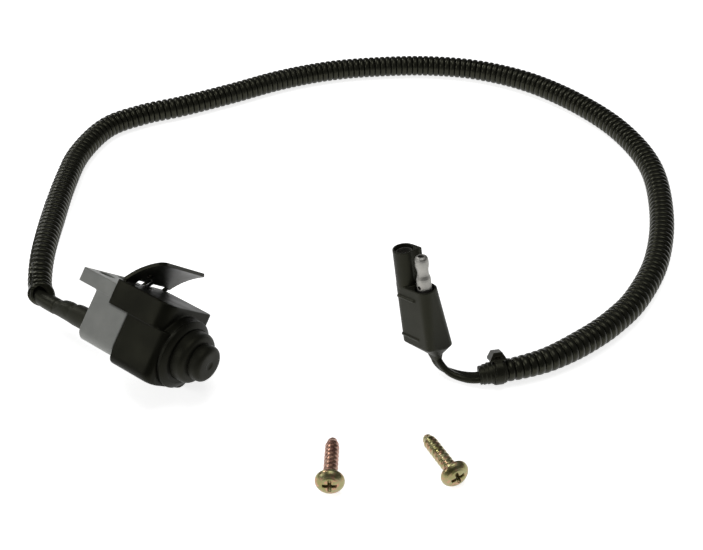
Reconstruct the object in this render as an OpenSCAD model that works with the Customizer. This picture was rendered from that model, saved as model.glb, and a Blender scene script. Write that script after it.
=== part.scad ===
// Trailer wiring lead: a sealed push-plunger housing with a sprung flap, a split corrugated loom,
// and a moulded two-pole flat plug, with the two self-tapping screws that fasten the housing.

/* [Housing] */
// Width of the housing across its sides
housing_w = 27; // [26:0.5:28]
// Length of the raised cap over the front shell
cap_len = 24.5; // [23:0.5:25]
// Height of the raised cap
cap_h = 9.2; // [8.8:0.1:9.6]
// Length of the mounting flange behind the cap
flange_len = 16; // [15:0.5:18]
// Thickness of the mounting flange
flange_t = 5.2; // [4.8:0.1:5.4]
// Diameter of the two screw holes in the flange
flange_hole_d = 6; // [5.6:0.1:6.2]
// Distance between the two screw holes
flange_hole_pitch = 11; // [10:0.5:13]
// Wall thickness of both shells
wall = 2; // [1.8:0.1:2.2]

/* [Boot and plunger] */
// Outer radius of the ring that holds the boot
bezel_r = 12.7; // [12.5:0.1:13]
// Radius of the boot's wide step
boot_r = 9.4; // [9:0.1:9.6]
// Radius of the boot's tip
boot_tip_r = 6.7; // [6.4:0.1:6.8]
// Radius of the plunger's rod
rod_r = 3.5; // [3.3:0.1:3.6]

/* [Flap] */
// Outer radius of the flap's gentle curve
flap_bend_r = 33; // [28:1:40]
// Thickness of the flap
flap_t = 1.3; // [1.1:0.1:1.5]

/* [Plug] */
// Distance between the plug's pin and its socket
pole_pitch = 8.2; // [8:0.1:8.4]
// Height of the socket tower above the shoulder
tower_h = 13.2; // [12.5:0.1:14]
// Height of the bare pin above the shoulder
pin_h = 12.6; // [12:0.1:13]
// Length of the moulded body below the shoulder
plug_len = 30; // [29:0.5:31]
// Inside radius of the socket's contact
socket_r = 2.5; // [2.4:0.05:2.55]
// Radius of the pin's head
pin_r = 2.45; // [2.35:0.05:2.5]

/* [Loom] */
// Outside diameter of the corrugated loom
loom_d = 10; // [9.6:0.2:10]
// Width of the flat two-core cable
cable_w = 5.8; // [5.2:0.2:5.8]

/* [Screws] */
// Diameter of the screw's head
head_d = 9.8; // [9.4:0.1:10]
// Length of the screw below its head
screw_len = 19; // [17:0.5:19]
// Diameter over the screw's thread
thread_d = 5.5; // [5.2:0.1:5.5]

/* [Hidden] */
$fn = 48;
black = [0.08, 0.08, 0.08];
rubber_black = [0.11, 0.11, 0.11];
loom_black = [0.13, 0.14, 0.12];
shell_grey = [0.42, 0.43, 0.41];
nylon = [0.85, 0.83, 0.76];
brass = [0.78, 0.62, 0.3];
copper = [0.72, 0.45, 0.3];
tin = [0.8, 0.8, 0.78];
spring_steel = [0.62, 0.63, 0.65];
zinc_yellow = [0.72, 0.63, 0.3];

// Housing, in its own frame: X along the plunger and Z towards the flap. The plunger's axis is a little below
// the middle of the frame.
housing_at = [-44.2, 20.9, 18.1];
housing_turn = -35;
housing_roll = -46;
axis_z = -0.9;
half_w = housing_w / 2;
front_half_w = half_w - 0.5;
rear_half_w = half_w - 0.8;
flange_half_w = half_w - 0.4;
joint_x = 9.2;
front_x = 27.5;
rear_x = -7.6;
cap_z1 = 13.2;
cap_z0 = cap_z1 - cap_h;
front_z0 = -14.6;
rear_z0 = -13;
flange_z1 = cap_z1 - 2.1;
flange_z0 = flange_z1 - flange_t;
rear_corner_r = 5;
front_corner_r = 3.5;
cap_corner_near_r = 4.8;
cap_corner_far_r = 2.5;
collar_r = 12;
cavity_r = 7;
cavity_end = 20.2;
bush_r = 5.6;
slide_gap = 0.05;
hole_x = -11.3;
bezel_offset = [0, -0.3, -0.7];
carrier_x1 = 9.1;
tongue_half_w = 10.5;
tongue_x1 = 8;
tongue_z = [flange_z0 + 0.3, flange_z1 - 1.4];
lead_z = -8;
lead_hole_r = 3.6;
gasket_t = 0.6;

// Flap, seen along Y. Its three legs reach down into notches in the cap, where the hinge pin holds them.
hinge_x = 2.2;
hinge_z = cap_z1 - 1.4;
hinge_pin_r = 0.7;
eye_r = 1.25;
notch_gap = 0.25;
legs = [[-half_w + 1, 5.5], [-1.5, 3.2], [half_w - 2.2, 1.4]];
flap_base = [0.9, cap_z1];
flap_tip = [14.4, cap_z1 + 12.3];
flap_chord = flap_tip - flap_base;
flap_rise = sqrt(pow(flap_bend_r, 2) - pow(norm(flap_chord) / 2, 2));
flap_centre = (flap_base + flap_tip) / 2 + flap_rise * [flap_chord[1], -flap_chord[0]] / norm(flap_chord);
flap_tip_angle = atan2(flap_tip[1] - flap_centre[1], flap_tip[0] - flap_centre[0]);
flap_sweep = 2 * asin(norm(flap_chord) / 2 / flap_bend_r);
window_h = 1.5;
strip_gap = 0.8;
eye_hole_at = [5, -5.5, cap_z1 + 5.5];

// Plug, in its own frame: X from the socket to the pin, Z out of the socket's mouth.
plug_at = [58.9, 19.6, 35.2];
plug_turn = [-3.5, -14.5, -46];
pin_x = pole_pitch / 2;
socket_x = -pole_pitch / 2;
shoulder_half_t = 3.9;
tower_r = 4;
mouth_r = 3.3;
mouth_depth = 2;
moat_r = 3.4;
moat_depth = 2.5;

// Places of the two screws: head centre and direction on the table, then the turn about that line.
screws = [[29.5, -40.6, 88, 0], [69.7, -37.6, 115, 15]];
screw_slope = -8.5;
head_h = 3.2;

// Return spring round the plunger, and the flap's torsion spring round its pin.
spring_turns = 6;
spring_x = [9.5, 17.6];
spring_coil_r = 3.05;
spring_path = [for (a = [0:20:360 * spring_turns]) [
    spring_x[0] + (spring_x[1] - spring_x[0]) * a / (360 * spring_turns),
    spring_coil_r * cos(a), spring_coil_r * sin(a)
]];
coil_r = 1.15;
coil_turn = 990;
coil_y = [-1.95, -3.35];
flap_spring_path = concat(
    [[4.9, coil_y[0], 16.1], [4.2, coil_y[0], 14.9], [3.3, coil_y[0], 13.5], [2.8, coil_y[0], 13.05]],
    [for (a = [0:30:coil_turn]) [
        hinge_x - coil_r * sin(a),
        coil_y[0] + (coil_y[1] - coil_y[0]) * a / coil_turn,
        hinge_z + coil_r * cos(a)
    ]],
    [[3.2, coil_y[1], 12.7], [3.3, coil_y[1], 13.3], [3.8, coil_y[1], 13.7], [7.4, coil_y[1], 13.6]]);

// Route of the loom, from the housing to the plug.
loom_r = loom_d / 2;
loom_route = [
    [-78.6, 36.9, 13.5], [-81.5, 43.7, 13.5], [-84.4, 61.4, 13], [-86.7, 87.6, 10], [-88.1, 115.8, 7],
    [-86.7, 140.4, 5.3], [-78.2, 161.6, 5], [-63.1, 172.6, 5], [-45.1, 180, 5], [-22.1, 191.4, 5],
    [1.1, 203.8, 5], [25.7, 212.6, 5], [50.9, 216.6, 5], [76.5, 217.4, 5], [101.5, 213, 5],
    [125.6, 201.2, 5], [147.2, 181, 5], [162.6, 157.2, 5], [170.1, 129.2, 5], [167.4, 96.2, 5],
    [158.9, 67.1, 5], [146.6, 45.1, 5], [134.7, 31.7, 5], [122.4, 21.7, 5], [108.8, 13.2, 5],
    [97.3, 8.7, 5], [88.9, 6.9, 4.7]
];
loom_start_r = 4.2;
loom_end_r = 4.1;
loom_points = smooth_route(loom_route, 2);
loom_radii = [for (i = [0:len(loom_points) - 1])
    min(loom_r, loom_start_r + 0.12 * i, loom_end_r + 0.3 * (len(loom_points) - 1 - i))];
// Route of the lead: straight through the sleeve, in the housing's frame, then on into the loom. Its outer
// jacket begins outside the sleeve.
lead_r = 2.6;
sleeve_end = -31;
lead_route = concat([for (x = [-4, -14, -24, sleeve_end, -40]) from_housing([x, 0, lead_z])],
    [[-81.6, 41.4, 12.9], [-82.4, 44.6, 13.4], [-82.7, 47.8, 13.7]]);
lead_jacket_r = 3.05;
lead_points = smooth_route(lead_route, 2);
lead_radii = [for (i = [0:len(lead_points) - 1]) i < 7 ? lead_r : lead_jacket_r];
// Route of the flat cable between the loom and the plug.
cable_route = [
    [92.7, 7.6, 4.5], [86.5, 6.4, 3.8], [81.3, 5.8, 2.7], [76.8, 7.2, 1.7], [72.5, 8.8, 2],
    [69.6, 10.3, 3.1], [67.5, 12.1, 4.9], [66.7, 13.5, 7.2]
];
cable_points = smooth_route(cable_route, 3);
cable_widths = [for (i = [0:len(cable_points) - 1])
    min(cable_w / 2, 1.25 + 0.09 * (len(cable_points) - 1 - i))];
cable_t = 2.7;
tie_r = 4.4;
tie_roll = -30;
tie_w = 3.2;
tie_head = [[-2.8, 0], [2.8, 0], [1.6, 2.9], [-1.6, 2.9]];

// ---- shared shapes ----

module in_housing() translate(housing_at) rotate([housing_roll, 0, housing_turn]) children();

function from_housing(p) =
    let (
        y = p[1] * cos(housing_roll) - p[2] * sin(housing_roll),
        z = p[1] * sin(housing_roll) + p[2] * cos(housing_roll)
    )
    housing_at + [
        p[0] * cos(housing_turn) - y * sin(housing_turn),
        p[0] * sin(housing_turn) + y * cos(housing_turn),
        z
    ];

module on_axis() translate([0, 0, axis_z]) children();

module in_plug() translate(plug_at) rotate(plug_turn) children();

// A solid of revolution about the X axis, from a profile of [x, radius] points.
module about_x(profile, sides = 64)
    rotate([90, 0, 90]) rotate_extrude($fn = sides) polygon([for (p = profile) [p[1], p[0]]]);

module rod_x(x0, x1, r, sides = 48)
    translate([x0, 0, 0]) rotate([0, 90, 0]) cylinder(h = x1 - x0, r = r, $fn = sides);

// A rod along the hinge's axis, from y to y + len.
module hinge_rod(y, len, r)
    translate([hinge_x, y + len, hinge_z]) rotate([90, 0, 0]) cylinder(h = len, r = r, $fn = 32);

module span(x, y, z) translate([x[0], y[0], z[0]]) cube([x[1] - x[0], y[1] - y[0], z[1] - z[0]]);

module both_sides() for (side = [0, 1]) mirror([0, side, 0]) children();

// A bar along X whose two lower edges are rounded.
module rounded_bar(x0, x1, half, z0, z1, r)
    rotate([90, 0, 90]) translate([0, 0, x0]) linear_extrude(x1 - x0) {
        translate([-half, z0 + r]) square([2 * half, z1 - z0 - r]);
        translate([-half + r, z0]) square([2 * (half - r), r + 0.01]);
        for (side = [-1, 1]) translate([side * (half - r), z0 + r]) circle(r);
    }

// Catmull-Rom point between p[i] and p[i + 1].
function spline_at(p, i, t) =
    let (n = len(p), a = p[max(i - 1, 0)], b = p[i], c = p[i + 1], d = p[min(i + 2, n - 1)])
    0.5 * (2 * b + (c - a) * t + (2 * a - 5 * b + 4 * c - d) * t * t + (3 * b - a - 3 * c + d) * t * t * t);
function smooth_route(p, per) = concat(
    [for (i = [0:len(p) - 2]) for (k = [0:per - 1]) spline_at(p, i, k / per)], [p[len(p) - 1]]);
function unit(v) = v / norm(v);
function heading(p, i) = unit(p[min(i + 1, len(p) - 1)] - p[max(i - 1, 0)]);

// A tube along a route. Its section is an oval of half sizes half_w and half_h, one number or one per ring.
function at_ring(v, i) = is_list(v) ? v[i] : v;
function ring_points(c, dir, across, half_w, half_h, sides) =
    let (side = unit(cross(dir, across)), up = cross(side, dir))
    [for (k = [0:sides - 1]) c + side * half_w * cos(360 * k / sides) + up * half_h * sin(360 * k / sides)];
module sweep(route, half_w, half_h, sides, across = [0, 0, 1]) {
    n = len(route);
    points = [for (i = [0:n - 1])
        each ring_points(route[i], heading(route, i), across, at_ring(half_w, i), at_ring(half_h, i), sides)];
    walls = [for (i = [0:n - 2]) for (k = [0:sides - 1]) let (j = (k + 1) % sides)
        [i * sides + k, i * sides + j, (i + 1) * sides + j, (i + 1) * sides + k]];
    first = [for (k = [sides - 1:-1:0]) k];
    last = [for (k = [0:sides - 1]) (n - 1) * sides + k];
    polyhedron(points, concat(walls, [first, last]));
}

// ---- housing ----

module rear_shell() color(shell_grey) in_housing() difference() {
    union() {
        rounded_bar(rear_x, joint_x - gasket_t, rear_half_w, rear_z0, cap_z0, rear_corner_r);
        span([rear_x, -0.05], [-rear_half_w, rear_half_w], [cap_z0 - 0.1, flange_z0 + 0.1]);
        span([-flange_len, -0.05], [-flange_half_w, flange_half_w], [flange_z0, flange_z1]);
        span([-1, tongue_x1], [-tongue_half_w, tongue_half_w], tongue_z);
    }
    rear_cavity();
    translate([0, 0, lead_z]) rod_x(rear_x - 1, rear_x + wall + 1, lead_hole_r);
    both_sides() translate([hole_x, flange_hole_pitch / 2, flange_z0 - 1])
        cylinder(h = flange_t + 2, d = flange_hole_d);
}

module rear_cavity() rounded_bar(rear_x + wall, joint_x + 1, rear_half_w - wall, rear_z0 + wall, cap_z0 - 0.6,
    rear_corner_r - wall);

module cap_plan() {
    r1 = cap_corner_near_r;
    r2 = cap_corner_far_r;
    translate([0, -half_w]) square([cap_len - r1, housing_w]);
    translate([0, -half_w + r1]) square([cap_len, housing_w - r1 - r2]);
    translate([cap_len - r1, half_w - r2]) square([r1 - r2, r2]);
    translate([cap_len - r1, -half_w + r1]) circle(r1);
    translate([cap_len - r2, half_w - r2]) circle(r2);
}

// Room in the cap's top for the flap's legs, its springs' coil, and their turn.
module hinge_notches() {
    reach = eye_r + notch_gap;
    for (leg = legs)
        span([hinge_x - reach, hinge_x + reach + 0.6], [leg[0] - notch_gap, leg[0] + leg[1] + notch_gap],
            [hinge_z - reach, cap_z1 + 1]);
    span([hinge_x - reach, hinge_x + reach], [coil_y[1] - 0.4, coil_y[0] + 0.4],
        [hinge_z - reach, cap_z1 + 1]);
}

module front_shell() color(black) in_housing() difference() {
    union() {
        rounded_bar(joint_x, front_x, front_half_w, front_z0, cap_z0 + 0.1, front_corner_r);
        translate([0, 0, cap_z0]) linear_extrude(cap_h) cap_plan();
        on_axis() rod_x(joint_x + 10, front_x, collar_r, 96);
    }
    hinge_notches();
    hinge_rod(-half_w + 0.2, housing_w - 0.4, hinge_pin_r);
    span([-1, tongue_x1 + 0.1], [-tongue_half_w - 0.1, tongue_half_w + 0.1],
        [tongue_z[0] - 0.1, tongue_z[1] + 0.1]);
    on_axis() {
        rod_x(joint_x - 5, cavity_end, cavity_r);
        rod_x(cavity_end - 1, front_x + 1, bush_r);
        rod_x(front_x - 1.2, front_x + 1, boot_r + 0.8, 64);
    }
}

module shell_gasket() color(rubber_black) in_housing() difference() {
    rounded_bar(joint_x - gasket_t, joint_x, rear_half_w - 0.4, rear_z0 + 0.4, cap_z0 - 0.05,
        rear_corner_r - 0.4);
    rear_cavity();
}

module guide_bush() color(nylon) in_housing() on_axis() difference() {
    rod_x(cavity_end, front_x - 1.2, bush_r);
    rod_x(cavity_end - 1, front_x, rod_r + slide_gap);
}

module boot_bezel() color(rubber_black) in_housing() on_axis() difference() {
    union() {
        translate(bezel_offset) about_x([[front_x, 0], [front_x, bezel_r], [front_x + 1.3, bezel_r],
            [front_x + 2.5, bezel_r - 2.4], [front_x + 2.5, 0]], 96);
        rod_x(front_x - 1.2, front_x + 1, boot_r + 0.7, 64);
    }
    rod_x(front_x - 2, front_x + 4, boot_r, 64);
}

module rubber_boot() color(rubber_black) in_housing() on_axis() about_x([
    [front_x - 1.1, bush_r + 0.2], [front_x - 1.1, boot_r - 0.02], [front_x + 5.8, boot_r - 0.02],
    [front_x + 6.9, boot_r - 0.5], [front_x + 7.4, boot_r - 1.3], [front_x + 7.5, boot_tip_r - 0.5],
    [front_x + 8, boot_tip_r], [front_x + 10.6, boot_tip_r - 0.1], [front_x + 11.7, boot_tip_r - 0.7],
    [front_x + 12.1, boot_tip_r - 1.7], [front_x + 12.1, 1.5], [front_x + 11.7, 1.1], [front_x + 11.7, 0],
    [front_x + 10.8, 0], [front_x + 10.8, boot_tip_r - 1.4], [front_x + 6.4, boot_tip_r - 1.4],
    [front_x + 6, boot_r - 1.5], [front_x, boot_r - 1.5], [front_x, bush_r + 0.2]]);

module plunger() color(nylon) in_housing() on_axis() about_x([
    [4, 0], [4, 1.2], [5.2, 1.2], [5.2, 2.2], [18, 2.2], [18, 6.4], [20, 6.4], [20, rod_r], [37.4, rod_r],
    [38.1, rod_r - 0.7], [38.1, 0]], 48);

module return_spring() color(spring_steel) in_housing() on_axis()
    sweep(spring_path, 0.35, 0.35, 6, [1, 0, 0]);

module contact_bridge() color(copper) in_housing() on_axis() difference() {
    span([4.1, 5], [-4.6, 4.6], [-1.3, 1.3]);
    rod_x(3, 6, 1.21);
}

module fixed_terminals() color(brass) in_housing() on_axis() both_sides() {
    span([0.5, 1], [2, 5.6], [-1.3, 1.3]);
    span([-3.4, 1], [5, 5.6], [-1.3, 1.3]);
}

module terminal_carrier() color(nylon) in_housing() difference() {
    span([-1, carrier_x1], [-9, 9], [-9.5, cap_z0 - 0.8]);
    span([0.5, 7.4], [-6.5, 6.5], [-5, cap_z0 - 1.8]);
    on_axis() {
        rod_x(7, carrier_x1 + 1, 2.5);
        both_sides() span([-2, 1], [4.95, 5.65], [-1.35, 1.35]);
    }
}

// ---- flap ----

module flap() color(black) in_housing() difference() {
    union() {
        translate([flap_centre[0], half_w, flap_centre[1]]) rotate([90, 0, 0]) rotate([0, 0, flap_tip_angle])
            rotate_extrude(angle = flap_sweep, $fn = 96)
                translate([flap_bend_r - flap_t, 0]) square([flap_t, housing_w]);
        for (leg = legs) {
            hinge_rod(leg[0], leg[1], eye_r);
            span([hinge_x - 1.1, hinge_x + 0.3], [leg[0], leg[0] + leg[1]], [hinge_z, cap_z1 + 0.1]);
        }
    }
    hinge_rod(-half_w - 1, housing_w + 2, hinge_pin_r + slide_gap);
    for (i = [0, 1])
        span([-1, hinge_x + 3], [legs[i][0] + legs[i][1], legs[i + 1][0]], [hinge_z, cap_z1 + window_h]);
    span([-1, hinge_x + 3], [-half_w - 1, legs[0][0]], [hinge_z, cap_z1 + strip_gap]);
    span([-1, hinge_x + 3], [legs[2][0] + legs[2][1], half_w + 1], [hinge_z, cap_z1 + strip_gap]);
    translate(eye_hole_at) rotate([0, -45, 0]) cylinder(h = 8, r = 0.95, center = true, $fn = 24);
    tip_corner(2.5);
    mirror([0, 1, 0]) tip_corner(1.5);
}

// Rounds the flap's corner on its -Y side.
module tip_corner(r) translate([flap_tip[0], -half_w + r, flap_tip[1]]) rotate([0, 90 - flap_tip_angle, 0])
    translate([-r, 0, -4]) difference() {
        translate([0, -r - 1, 0]) cube([r + 1, r + 1, 8]);
        translate([0, 0, -1]) cylinder(h = 10, r = r);
    }

module flap_pin() color(spring_steel) in_housing() hinge_rod(-half_w + 0.2, housing_w - 0.4, hinge_pin_r);

module flap_spring() color(spring_steel) in_housing() sweep(flap_spring_path, 0.25, 0.25, 6, [0, 1, 0]);

// ---- leads, loom and cable ----

module lead_sleeve() color(rubber_black) in_housing() translate([0, 0, lead_z]) difference() {
    about_x([[sleeve_end, 0], [sleeve_end, 3], [-30, 3.3], [-28.4, 3.4], [-27.4, 3.2], [-24.6, 3.4],
        [-23.4, 3.9], [-21.6, 4], [-20.6, 3.8], [-16, 4.2], [rear_x, 4.4], [rear_x, lead_hole_r],
        [rear_x + wall, lead_hole_r], [rear_x + wall, 0]]);
    rod_x(sleeve_end - 1, rear_x + wall + 1, lead_r + 0.05);
}

module lead_wires() color(black) sweep(lead_points, lead_radii, lead_radii, 8);

module loom() color(loom_black) sweep(loom_points, loom_radii, loom_radii, 10);

module end_tape() color(rubber_black)
    sweep([[93.9, 8, 4.9], [88.9, 6.9, 4.7], [82.1, 5.9, 3.7]], [4.5, 4.4, 3.4], [4.5, 4.4, 3.4], 12);

module cable_tie() color(black) translate([88.7, 6.9, 4.95]) rotate([0, 0, 10]) rotate([tie_roll, 0, 0]) {
    rotate([0, 90, 0]) difference() {
        cylinder(h = tie_w, r = tie_r + 0.5, center = true);
        cylinder(h = tie_w + 1, r = tie_r, center = true);
    }
    translate([0, 2.4, tie_r + 0.1]) rotate([90, 0, 0]) linear_extrude(4.8) polygon(tie_head);
}

module plug_cable() color(black) sweep(cable_points, cable_widths, cable_t / 2, 8);

// ---- plug ----

// A thin plate with rounded corners, from (w0, t0) to (w1, t1).
module slab(w0, w1, t0, t1, z, r) for (w = [w0 + r, w1 - r]) for (t = [t0 + r, t1 - r])
    translate([w, t, z]) cylinder(h = 0.5, r = r, $fn = 24);

module plug_body() color(black) in_plug() difference() {
    union() {
        hull() {
            slab(-8, 8.1, -shoulder_half_t, 4, -0.5, 3.4);
            plug_foot();
        }
        hull() {
            plug_foot();
            slab(0.2, 4.8, 1.4, 5, -plug_len, 1.5);
        }
        translate([socket_x, 0, -1]) cylinder(h = tower_h + 1, r = tower_r);
        translate([socket_x, 0.4, -1]) cube([4.7, tower_r - 0.4, tower_h + 1]);
        for (z = [-4.6, -20.4]) translate([-5.7, -4.5, z]) cube([8.3, 2, 0.9]);
    }
    translate([socket_x, 0, 1]) cylinder(h = tower_h + 1, r = 2.9);
    translate([socket_x, 0, tower_h - mouth_depth]) cylinder(h = mouth_depth + 1, r = mouth_r);
    translate([pin_x, 0, -moat_depth]) cylinder(h = moat_depth + 1, r = moat_r);
    translate([pin_x, 0, 0]) cylinder(h = tower_h + 1, r = 4.3);
    translate([pin_x, 0, -8]) cylinder(h = 9, r = 2);
}

// The plug's widest section, lower on the side away from the ribs.
module plug_foot() {
    slab(-6.6, 8, -4.2, 2, -23.2, 2.2);
    slab(-6.6, 8, 1.6, 8, -25.6, 2.2);
}

module male_pin() color(tin) in_plug() translate([pin_x, 0, 0]) difference() {
    rotate_extrude() polygon([[0, -8], [2, -8], [2, -moat_depth], [2.6, -moat_depth], [2.6, 4.4], [1.95, 5.2],
        [1.95, pin_h - 5], [pin_r, pin_h - 4.2], [pin_r, pin_h - 1], [1.7, pin_h], [0, pin_h]]);
    translate([0, 0, pin_h - 4]) cylinder(h = 5, r = 1);
    translate([0, 0, 1.2]) rotate([90, 0, 0]) cylinder(h = 4, r = 0.7, $fn = 24);
}

module female_terminal() color(tin) in_plug() translate([socket_x, 0, 0]) difference() {
    translate([0, 0, 1.05]) cylinder(h = tower_h - 2.2, r = 2.88);
    translate([0, 0, 2]) cylinder(h = tower_h, r = socket_r);
}

// ---- screws ----

module screw() {
    difference() {
        rotate_extrude() polygon([[0, 0], [head_d / 2, 0], [head_d / 2, 1.2], [head_d / 2 - 0.9, 2.6],
            [head_d / 2 - 2.6, head_h], [0, head_h]]);
        for (turn = [0, 90]) rotate([0, 0, turn]) translate([-2.6, -0.6, 1.2]) cube([5.2, 1.2, 3]);
    }
    translate([0, 0, -screw_len]) {
        translate([0, 0, 3.4]) cylinder(h = screw_len - 3.3, r = thread_d / 2 - 0.3);
        cylinder(h = 3.4, r1 = 1, r2 = thread_d / 2 - 0.3);
    }
}

module mounting_screws() color(zinc_yellow) for (s = screws)
    translate([s[0], s[1], head_d / 2]) rotate([0, 0, s[2]]) rotate([0, -90 - screw_slope, 0])
        rotate([0, 0, s[3]]) screw();

rear_shell();
front_shell();
shell_gasket();
guide_bush();
boot_bezel();
rubber_boot();
plunger();
return_spring();
contact_bridge();
fixed_terminals();
terminal_carrier();
flap();
flap_pin();
flap_spring();
lead_sleeve();
lead_wires();
loom();
end_tape();
cable_tie();
plug_cable();
plug_body();
male_pin();
female_terminal();
mounting_screws();
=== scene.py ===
from math import cos, floor, pi, radians, sin, sqrt

import bmesh
import bpy
from mathutils import Euler, Matrix, Vector


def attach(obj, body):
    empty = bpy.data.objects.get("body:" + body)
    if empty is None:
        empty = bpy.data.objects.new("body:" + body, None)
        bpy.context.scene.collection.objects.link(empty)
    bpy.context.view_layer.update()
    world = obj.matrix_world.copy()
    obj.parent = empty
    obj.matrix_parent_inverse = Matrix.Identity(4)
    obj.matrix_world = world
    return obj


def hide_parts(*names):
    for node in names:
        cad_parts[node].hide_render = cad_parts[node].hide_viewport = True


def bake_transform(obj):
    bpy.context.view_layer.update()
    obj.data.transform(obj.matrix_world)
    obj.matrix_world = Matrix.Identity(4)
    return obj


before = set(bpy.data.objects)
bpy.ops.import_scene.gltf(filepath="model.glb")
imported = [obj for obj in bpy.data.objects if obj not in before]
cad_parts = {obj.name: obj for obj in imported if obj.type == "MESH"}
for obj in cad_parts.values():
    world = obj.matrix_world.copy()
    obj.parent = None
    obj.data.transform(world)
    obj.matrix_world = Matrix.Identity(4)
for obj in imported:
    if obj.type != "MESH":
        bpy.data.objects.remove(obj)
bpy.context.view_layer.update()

# Lengths are in millimetres, as in the CAD, and MM turns a finished mesh into metres.
MM = 0.001
HOUSING = (Matrix.Translation((-44.2, 20.9, 18.1)) @ Matrix.Rotation(radians(-35), 4, "Z")
           @ Matrix.Rotation(radians(-46), 4, "X"))
PLUG = (Matrix.Translation((58.9, 19.6, 35.2))
        @ Euler((radians(-3.5), radians(-14.5), radians(-46)), "XYZ").to_matrix().to_4x4())
WORLD = Matrix.Identity(4)


# ---- camera ----

# Place in metres, tilt up from straight down in degrees, lens and sensor in millimetres.
CAMERA_AT, CAMERA_TILT = (0.0365, -0.2439, 0.277), 48
LENS, SENSOR = 52.745, 36
CLIP_NEAR, CLIP_FAR = 0.01, 20
# The direction that points up in the picture.
VIEW_UP = Vector((0, 0.669, 0.743))


def make_camera():
    """The scene's camera, at the photo's viewing angle."""
    data = bpy.data.cameras.new("camera")
    data.lens, data.sensor_width = LENS, SENSOR
    data.clip_start, data.clip_end = CLIP_NEAR, CLIP_FAR
    camera = bpy.data.objects.new("camera", data)
    camera.location = CAMERA_AT
    camera.rotation_euler = (radians(CAMERA_TILT), 0, 0)
    bpy.context.scene.collection.objects.link(camera)
    bpy.context.scene.camera = camera


make_camera()


# ---- materials ----

# The Mix node has sockets for every type of data. These are the colour ones.
MIX_FIRST, MIX_SECOND, MIX_RESULT = 6, 7, 2
# How much finer the streaks of a third colour are than the patches of the first two.
STREAKS_FINER = 2.7


def noise_node(tree, coord, scale, detail=3.0, roughness=0.5):
    """Noise of this scale, as a value from 0 to 1."""
    node = tree.nodes.new("ShaderNodeTexNoise")
    node.inputs["Scale"].default_value = scale
    node.inputs["Detail"].default_value = detail
    node.inputs["Roughness"].default_value = roughness
    tree.links.new(coord, node.inputs["Vector"])
    return node.outputs["Fac"]


def map_range(tree, value, low, high, start=0.3, end=0.7):
    """Rescales a value, so that start becomes low and end becomes high."""
    node = tree.nodes.new("ShaderNodeMapRange")
    node.inputs["From Min"].default_value = start
    node.inputs["From Max"].default_value = end
    node.inputs["To Min"].default_value = low
    node.inputs["To Max"].default_value = high
    tree.links.new(value, node.inputs["Value"])
    return node.outputs["Result"]


def mix_colour(tree, factor, first, second):
    """A mix of two colours, each given as numbers or as another node's output."""
    node = tree.nodes.new("ShaderNodeMix")
    node.data_type = "RGBA"
    tree.links.new(factor, node.inputs["Factor"])
    for socket, colour in ((node.inputs[MIX_FIRST], first), (node.inputs[MIX_SECOND], second)):
        if isinstance(colour, tuple):
            socket.default_value = (*colour, 1)
        else:
            tree.links.new(colour, socket)
    return node.outputs[MIX_RESULT]


def material(name, colour, second, rough=(0.35, 0.5), patch=120, grain=2500, bump=0.1, bump_mm=0.03,
             edge_colour=None, metallic=0.0, specular=0.5, tint=None, third=None):
    """A moulded or plated surface.

    Slow patches drift between two colours and two roughnesses, with streaks of a third colour if there
    is one. The bump has a fine grain. Edges that stand out take a lighter edge colour. tint is for
    highlights.
    """
    mat = bpy.data.materials.new(name)
    mat.use_nodes = True
    tree = mat.node_tree
    shader = tree.nodes["Principled BSDF"]
    coord = tree.nodes.new("ShaderNodeTexCoord").outputs["Object"]
    patches = noise_node(tree, coord, patch)
    fine = noise_node(tree, coord, grain, detail=2.0)
    base = mix_colour(tree, map_range(tree, patches, 0, 1), colour, second)
    if third:
        streaks = noise_node(tree, coord, patch * STREAKS_FINER, detail=4.0)
        base = mix_colour(tree, map_range(tree, streaks, 0, 1, start=0.5, end=0.62), base, third)
    # Edges that stand out take a lighter colour, more so the sharper they are.
    if edge_colour:
        edge = tree.nodes.new("ShaderNodeNewGeometry").outputs["Pointiness"]
        # Pointiness is 0.5 on a flat surface and more on an edge.
        base = mix_colour(tree, map_range(tree, edge, 0, 0.6, start=0.52, end=0.6), base, edge_colour)
    tree.links.new(base, shader.inputs["Base Color"])
    tree.links.new(map_range(tree, patches, rough[0], rough[1]), shader.inputs["Roughness"])
    relief = tree.nodes.new("ShaderNodeBump")
    relief.inputs["Strength"].default_value = bump
    relief.inputs["Distance"].default_value = bump_mm * MM
    tree.links.new(fine, relief.inputs["Height"])
    tree.links.new(relief.outputs["Normal"], shader.inputs["Normal"])
    shader.inputs["Metallic"].default_value = metallic
    shader.inputs["Specular IOR Level"].default_value = specular
    if tint:
        shader.inputs["Specular Tint"].default_value = (*tint, 1)
    return mat


# A dark polymer's hues in red, green and blue, each a share of its shade. COOL is also brighter by COOL_LIFT.
WARM, COOL, COOL_LIFT = (1.02, 1.04, 0.72), (1.0, 1.01, 0.8), 1.4
# The lighter colour of edges that stand out, as shares of the shade, and the tint of highlights.
EDGE_HUE, HIGHLIGHT = (3.4, 3.4, 2.7), (1.0, 1.0, 0.7)


def plastic(name, shade, rough, **extra):
    """A dark polymer whose colour drifts between a warm black and a slightly brighter one."""
    warm = tuple(shade * k for k in WARM)
    cool = tuple(shade * k * COOL_LIFT for k in COOL)
    edge_colour = tuple(shade * k for k in EDGE_HUE)
    return material(name, warm, cool, rough, edge_colour=edge_colour, tint=HIGHLIGHT, **extra)


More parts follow.
